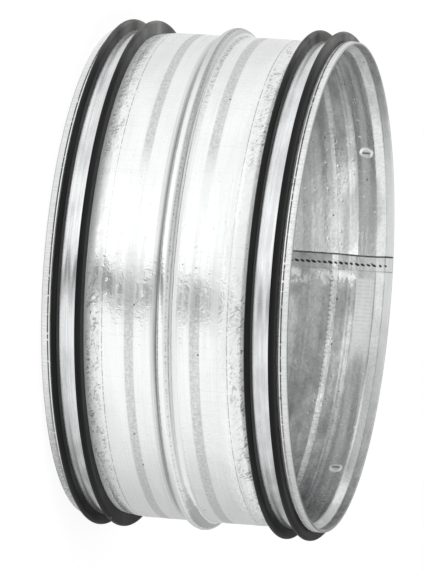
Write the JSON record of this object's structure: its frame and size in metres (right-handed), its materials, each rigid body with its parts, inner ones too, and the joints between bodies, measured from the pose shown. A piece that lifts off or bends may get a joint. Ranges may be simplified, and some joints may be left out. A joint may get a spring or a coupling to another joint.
{
  "type": "duct connector",
  "caption": "Round male duct coupling of galvanised sheet with hemmed ends, a middle stop bead and a double-lip rubber gasket under a steel band at each end.",
  "frame": {"origin": "centre of the rear end, on the surface that the connector stands on", "axes": "+Z along the duct axis, from the rear end up to the front end; the lap seam is near -X"},
  "size_m": [0.2604, 0.2604, 0.125],
  "materials": {
    "galvanised_sheet": "bright zinc coat with fine scratches and scuffs",
    "gasket_rubber": "smooth black EPDM",
    "band_steel": "dull zinc-coated strip"
  },
  "bodies": {
    "root": {"sleeve": "galvanised_sheet", "rear_gasket": "gasket_rubber", "front_gasket": "gasket_rubber", "rear_retaining_band": "band_steel", "front_retaining_band": "band_steel"}
  },
  "joints": []
}
